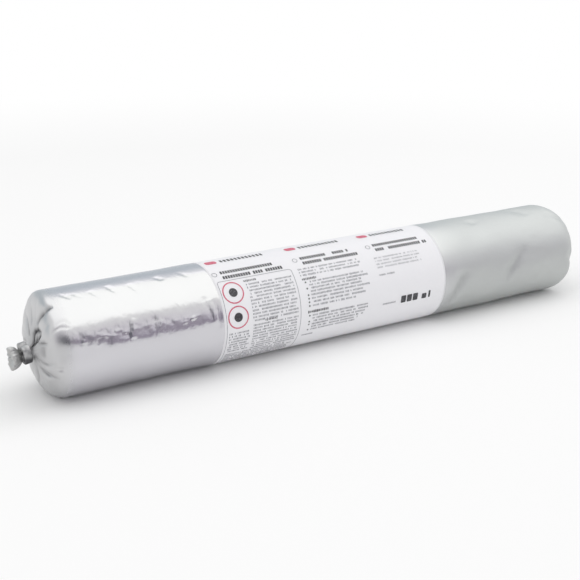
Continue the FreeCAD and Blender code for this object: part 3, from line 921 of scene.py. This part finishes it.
def paragraph_group():
    tree, graph, wires = new_group(
        "paragraph_of_bars",
        ("Along", "Round", "Line pitch", "Letter pitch", "Bar width", "Bar height", "Gap share", "Ragged",
         "Uneven", "Ink"), ("Lines", "Letters", "Seed"))
    lines, letters = wires["Lines"], wires["Letters"]
    grid = graph.node("GeometryNodeMeshGrid", [1.0, 1.0, letters, lines])
    index = graph.node("GeometryNodeInputIndex")
    column = (index / lines).math("FLOOR")
    line = index - column * lines

    def chance(identity, more):
        return graph.node("FunctionNodeRandomValue", {
            2: 0.0, 3: 1.0, "ID": identity, "Seed": wires["Seed"] + more}, 1, data_type="FLOAT")

    flat = graph.vector(wires["Along"] + column * wires["Letter pitch"],
                        wires["Round"] - line * wires["Line pitch"], wires["Ink"] / 2)
    points = graph.node("GeometryNodeSetPosition", {"Geometry": grid, "Position": flat})
    line_end = letters * (1 - wires["Ragged"] * chance(line, 1))
    beyond = column.math("GREATER_THAN", line_end)
    gap = chance(index, 2).math("LESS_THAN", wires["Gap share"])
    points = graph.node("GeometryNodeDeleteGeometry", {
        "Geometry": points, "Selection": beyond.math("MAXIMUM", gap)})
    bar = graph.node("GeometryNodeMeshCube", [
        graph.vector(wires["Bar width"], wires["Bar height"], wires["Ink"])])
    shrink = 1 - wires["Uneven"] * chance(index, 3)
    narrow = 1 - wires["Uneven"] * chance(index, 4)
    bars = graph.node("GeometryNodeInstanceOnPoints", {
        "Points": points, "Instance": bar, "Scale": graph.vector(narrow, shrink, 1.0)})
    close_group(graph, graph.node("GeometryNodeRealizeInstances", [bars]), wires)
    return tree


PARAGRAPH = paragraph_group()
LETTER_SHARE = 0.72  # a letter's pitch, as a share of its height


def arc_mm(turn):
    """How far round the label a turn in degrees is."""
    return math.radians(turn) * LABEL_RADIUS


class Print:
    """Collects the pieces printed in one ink and joins them in the end."""

    def __init__(self, name, material):
        self.name = name
        self.material = material
        self.parts = []

    def paragraph(self, x, turn, lines, length, height, pitch,
                  gap=0.16, ragged=0.15, uneven=0.35, bold=0.62):
        """Lines of bars: from x for a length, the first line at a turn, letters of a height, in mm."""
        letter = LETTER_SHARE * height
        self.parts.append(run_group(
            "bars", PARAGRAPH, along=x * MM, round=arc_mm(turn) * MM, lines=lines,
            letters=max(2, round(length / letter)), line_pitch=pitch * MM, letter_pitch=letter * MM,
            bar_width=bold * letter * MM, bar_height=height * MM, gap_share=gap, ragged=ragged,
            uneven=uneven, ink=INK * MM, seed=len(self.parts) * 17 + 3, material=self.material))

    def row(self, x, turn, length, height, gap=0.0, uneven=0.35, bold=0.62):
        """One line of bars, full to its end."""
        self.paragraph(x, turn, 1, length, height, 1, gap, 0, uneven, bold)

    def shape(self, mesh):
        self.parts.append(run_group("shape", SHAPE, mesh, material=self.material))

    def finish(self):
        work = bmesh.new()
        for part in self.parts:
            work.from_mesh(part.data)
            bpy.data.meshes.remove(part.data)
        mesh = bpy.data.meshes.new(self.name)
        bmesh.ops.recalc_face_normals(work, faces=work.faces)
        work.to_mesh(mesh)
        work.free()
        mesh.materials.append(self.material)
        print("%s: %d faces" % (self.name, len(mesh.polygons)))
        return new_object(self.name, mesh)


# %% A tree for flat shapes: rings, lozenges and frames
SHAPE, shape_graph, shape_wires = new_group("wrapped_shape")
close_group(shape_graph, shape_wires["Geometry"], shape_wires)
BEND_STEP = 1.2  # a straight edge is cut at least this often, so that it can bend


def band(outer, inner):
    """A closed band between two outlines of as many points."""
    pairs = []
    for a, b, c, d in zip(outer, np.roll(outer, -1, axis=0), inner, np.roll(inner, -1, axis=0)):
        pieces = max(1, math.ceil(math.dist(a, b) / BEND_STEP))
        pairs += [(a + (b - a) * share, c + (d - c) * share) for share in np.arange(pieces) / pieces]
    count = len(pairs)
    verts = [(*(pair[side] * MM), lift * MM) for lift in (0.0, INK) for side in (0, 1) for pair in pairs]
    top = 2 * count
    faces = []
    for i in range(count):
        j = (i + 1) % count
        a, b, c, d = i, j, count + j, count + i
        faces += [(a, b, c, d), (top + a, top + d, top + c, top + b)]
        faces += [(a, top + a, top + b, b), (d, c, top + c, top + d)]
    return new_mesh("band", verts, faces)


def patch(outline):
    """A filled shape: a band from its outline to almost its middle."""
    middle = outline.mean(axis=0)
    return band(outline, middle + (outline - middle) * 0.01)


def rounded(cx, cy, half_x, half_y, corner):
    """Outline of a rectangle with round corners."""
    points = []
    for start, sx, sy in ((0, 1, 1), (90, -1, 1), (180, -1, -1), (270, 1, -1)):
        for angle in np.radians(np.linspace(start, start + 90, 6)):
            points.append((cx + sx * (half_x - corner) + corner * math.cos(angle),
                           cy + sy * (half_y - corner) + corner * math.sin(angle)))
    return np.array(points)


def circle(cx, cy, radius, count=40):
    angles = 2 * math.pi * np.arange(count) / count
    return np.stack([cx + radius * np.cos(angles), cy + radius * np.sin(angles)], axis=1)


# %% Lay out the print
dark = Print("print_dark", INK_DARK)
grey = Print("print_grey", INK_GREY)
rose = Print("print_rose", INK_ROSE)

COLUMNS = (-71.5, -27.0, 16.8)
for number, x in enumerate(COLUMNS):
    # a plain rose lozenge and a row of dark bars along the top
    rose.shape(patch(rounded(x + 5.0, arc_mm(87.5), 3.0, 1.8, 1.3)))
    dark.row(x + 10.6, 87.5, 25 - number, 2.8, uneven=0.1)
    # two heading lines, with a small grey ring beside them
    for turn, length in ((64.5, 29), (57, 33)):
        dark.row(x + 5.4, turn, length, 1.9, gap=0.09, uneven=0.08, bold=0.74)
    grey.shape(band(circle(x + 1.6, arc_mm(63), 1.35), circle(x + 1.6, arc_mm(63), 1.1)))

# near column: a thin frame with two rings and a dense paragraph
FRAME_X = -50.6
RINGS_X = -64.6
frame_mid = arc_mm(-3.75)
frame_half = arc_mm(56)
grey.shape(band(rounded(FRAME_X, frame_mid, 20.4, frame_half + 0.2, 1.4),
                rounded(FRAME_X, frame_mid, 20.2, frame_half, 1.2)))
for turn in (37.5, 10):
    rose.shape(band(circle(RINGS_X, arc_mm(turn), 5.5), circle(RINGS_X, arc_mm(turn), 4.9)))
    dark.shape(patch(circle(RINGS_X, arc_mm(turn), 2.2)))
dark.row(-57, 48, 6.5, 1.2)
grey.paragraph(-56.5, 43.5, 12, 25, 1.0, 1.62, ragged=0.08)
dark.row(-50, 1.2, 7, 1.2)
grey.paragraph(-56.5, -2.5, 10, 25, 1.0, 1.5, gap=0.12, ragged=0.05)
grey.paragraph(-69.5, -7.5, 8, 11.5, 1.0, 1.5, gap=0.12)
grey.paragraph(-69.5, -37, 6, 37.5, 1.0, 1.5, gap=0.12)
print("near column done")

# %% The middle and far columns
grey.paragraph(-26.5, 49.5, 3, 38, 1.05, 1.7)
dark.row(-26.3, 37, 8.5, 1.3)


def bulleted(turn, lines, length):
    """A small round stop and the lines beside it."""
    dark.shape(patch(circle(-25.2, arc_mm(turn), 0.42, 16)))
    grey.paragraph(-23.2, turn, lines, length, 1.05, 1.6)


for turn, lines, length in (
        (33.2, 2, 36), (26, 2, 34), (18.6, 1, 35), (14.6, 1, 30), (10.6, 1, 33), (6.4, 1, 26)):
    bulleted(turn, lines, length)
dark.row(-25.8, -0.5, 12.5, 1.4, bold=0.74)
for turn, lines, length in ((-5, 2, 34), (-12.4, 1, 35), (-16.2, 2, 32), (-23.6, 1, 30)):
    bulleted(turn, lines, length)
grey.paragraph(-27.5, -31, 1, 7, 1.0, 1, gap=0)

grey.paragraph(18.4, 46, 4, 31, 0.95, 1.75, gap=0.2, bold=0.42)
grey.paragraph(18.2, 25, 1, 11, 0.95, 1)
grey.paragraph(19.4, -10.5, 1, 8.5, 0.95, 1, gap=0)
# five solid blocks that stand on one line, low on the far column
BLOCK_LINE = arc_mm(-9.3) - 2.0
for x, half_x, half_y in (
        (32.2, 1.55, 2.0), (36.0, 1.55, 2.0), (39.8, 1.55, 2.0), (45.6, 1.5, 1.45), (49.0, 0.6, 2.0)):
    dark.shape(patch(rounded(x, BLOCK_LINE + half_y, half_x, half_y, 0.5)))
prints = [dark.finish(), grey.finish(), rose.finish()]

# %% [markdown]
# Each finished piece says which CAD node it stands for, which body it rides on, and which finish in
# the record it takes. The clips stay as the CAD model has them.

# %% Tie the pieces to the model
for piece, node, slot in ((film, "foil_pack", "foil_film"), (label, "label", "label_print")):
    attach(piece, BODY)
    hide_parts(node)
for piece in prints:
    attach(piece, BODY)

# %% [markdown]
# The studio is white and soft. A large soft box hangs overhead, and the world gives even light from
# all sides. For rays that show the background, the world and the far floor are plain white, while
# the floor near the pack keeps most of its shadow. Bright metal shows its surroundings, so two large
# cards stand beside the pack, as in a real studio: a blue-grey one behind, and a lilac one in front
# that is dark low down. Only reflections see them.

# %% Seen or only felt


def shows(graph):
    """1 for rays that show the background: from the camera, off metal or through glass."""
    made = graph.tree.nodes.new("ShaderNodeLightPath")
    rays = [Wire(graph, made.outputs[name]) for name in (
        "Is Camera Ray", "Is Glossy Ray", "Is Transmission Ray")]
    return (rays[0] + rays[1] + rays[2]).math("MINIMUM", 1.0)


WHITE = (1, 1, 1, 1)
WORLD_FILL = 0.71
FLOOR_HALF = 8.0
PLAIN_BESIDE = 0.45  # share of plain white just beside the pack

world = bpy.data.worlds.new("studio")
bpy.context.scene.world = world
world.use_nodes = True
sky = Graph(world.node_tree)
feed(sky, world.node_tree.nodes["Background"], Color=WHITE,
     Strength=sky.fade(shows(sky), 0, 1, WORLD_FILL, 1.0))


def stage_sheet(name, corners):
    """A plain quad for the studio."""
    made = new_object(name, new_mesh(name, corners, [(0, 1, 2, 3)]))
    return made


def show(material, graph, surface):
    graph.put(material.node_tree.nodes["Material Output"].inputs["Surface"], surface)


def floor_material():
    """Matt white that keeps the shadow near the pack, and plain white for shown rays far from it."""
    material, graph, shader, place = new_material(
        "floor_white", Base_Color=(0.95, 0.95, 0.95, 1), Roughness=1.0, Specular_IOR_Level=0.0)
    distance = graph.node("ShaderNodeVectorMath", [place], "Value", operation="LENGTH")
    _, across, _ = graph.split(place)
    beside = graph.fade(across.math("ABSOLUTE"), 0.011, 0.04, 0.0, PLAIN_BESIDE)
    plain = beside.math("MAXIMUM", graph.fade(distance, 0.2, 0.9))
    white = graph.node("ShaderNodeEmission", {"Color": WHITE, "Strength": 1.0})
    show(material, graph, graph.node("ShaderNodeMixShader", [
        shows(graph) * plain, Wire(graph, shader.outputs["BSDF"]), white]))
    return material


floor = stage_sheet("floor", [(x * FLOOR_HALF, y * FLOOR_HALF, 0) for x, y in (
    (-1, -1), (1, -1), (1, 1), (-1, 1))])
floor.data.materials.append(floor_material())

# %% Soft box
light = bpy.data.lights.new("soft_box", "AREA")
light.shape = "RECTANGLE"
light.size = 3.2
light.size_y = 1.63
light.energy = 8.4
new_object("soft_box", light).location = (0.4, -0.085, 1.0)

# %% Cards
CARD_HALF = 4.0
DARK_PART = (0.09, 0.09, 0.115, 1)
BRIGHT_END = (0.98, 0.97, 1.0, 1)


def card(name, y, high, stops, dark_part=False):
    """An upright card that only reflections see. Its colour goes by height, and part may be dark."""
    made = stage_sheet(name, [
        (-CARD_HALF, y, 0), (CARD_HALF, y, 0), (CARD_HALF, y, high), (-CARD_HALF, y, high)])
    material, graph, shader, place = new_material(name)
    material.node_tree.nodes.remove(shader)
    x, _, z = graph.split(place)
    colour = graph.node("ShaderNodeValToRGB", [z / high], stops=stops)
    if dark_part:
        pale = graph.fade(x, -0.15, 0.36).math("MAXIMUM", graph.fade(x, -0.6, -3.2))
        pale = pale.math("MAXIMUM", graph.fade(z, 0.4, 0.85))
        colour = graph.blend(pale, DARK_PART, colour)
        colour = graph.blend(graph.fade(x, 1.25, 1.9), colour, BRIGHT_END)
    show(material, graph, graph.node("ShaderNodeEmission", {"Color": colour, "Strength": 1.0}))
    made.data.materials.append(material)
    made.visible_camera = False
    made.visible_diffuse = False
    made.visible_shadow = False


card("back_card", 1.1, 1.5, [
    (0.0, (0.67, 0.72, 0.75, 1)), (0.45, (0.63, 0.69, 0.73, 1)), (0.75, (0.82, 0.86, 0.89, 1)),
    (1.0, WHITE)])
card("front_card", -1.2, 1.35, [
    (0.0, (0.37, 0.33, 0.40, 1)), (0.2, (0.37, 0.33, 0.40, 1)), (0.33, (0.93, 0.90, 0.96, 1)),
    (1.0, (0.99, 0.98, 1.0, 1))], dark_part=True)

# %% [markdown]
# The camera stands at the near end, a little above the pack, and looks along it, as the photograph
# was taken: about 32 degrees round from square on and 18 degrees up.

# %% Camera
CAMERA_PLACE = Vector((-0.301056, -0.450021, 0.204079))
CAMERA_LOOK = Vector((0.50131, 0.80566, -0.31558))
camera_data = bpy.data.cameras.new("camera")
camera_data.sensor_width = 36.0
camera_data.lens = 68.685
camera = new_object("camera", camera_data)
camera.location = CAMERA_PLACE
camera.rotation_mode = "QUATERNION"
camera.rotation_quaternion = CAMERA_LOOK.to_track_quat("-Z", "Y")
bpy.context.scene.camera = camera
bpy.context.scene.view_settings.view_transform = "Standard"
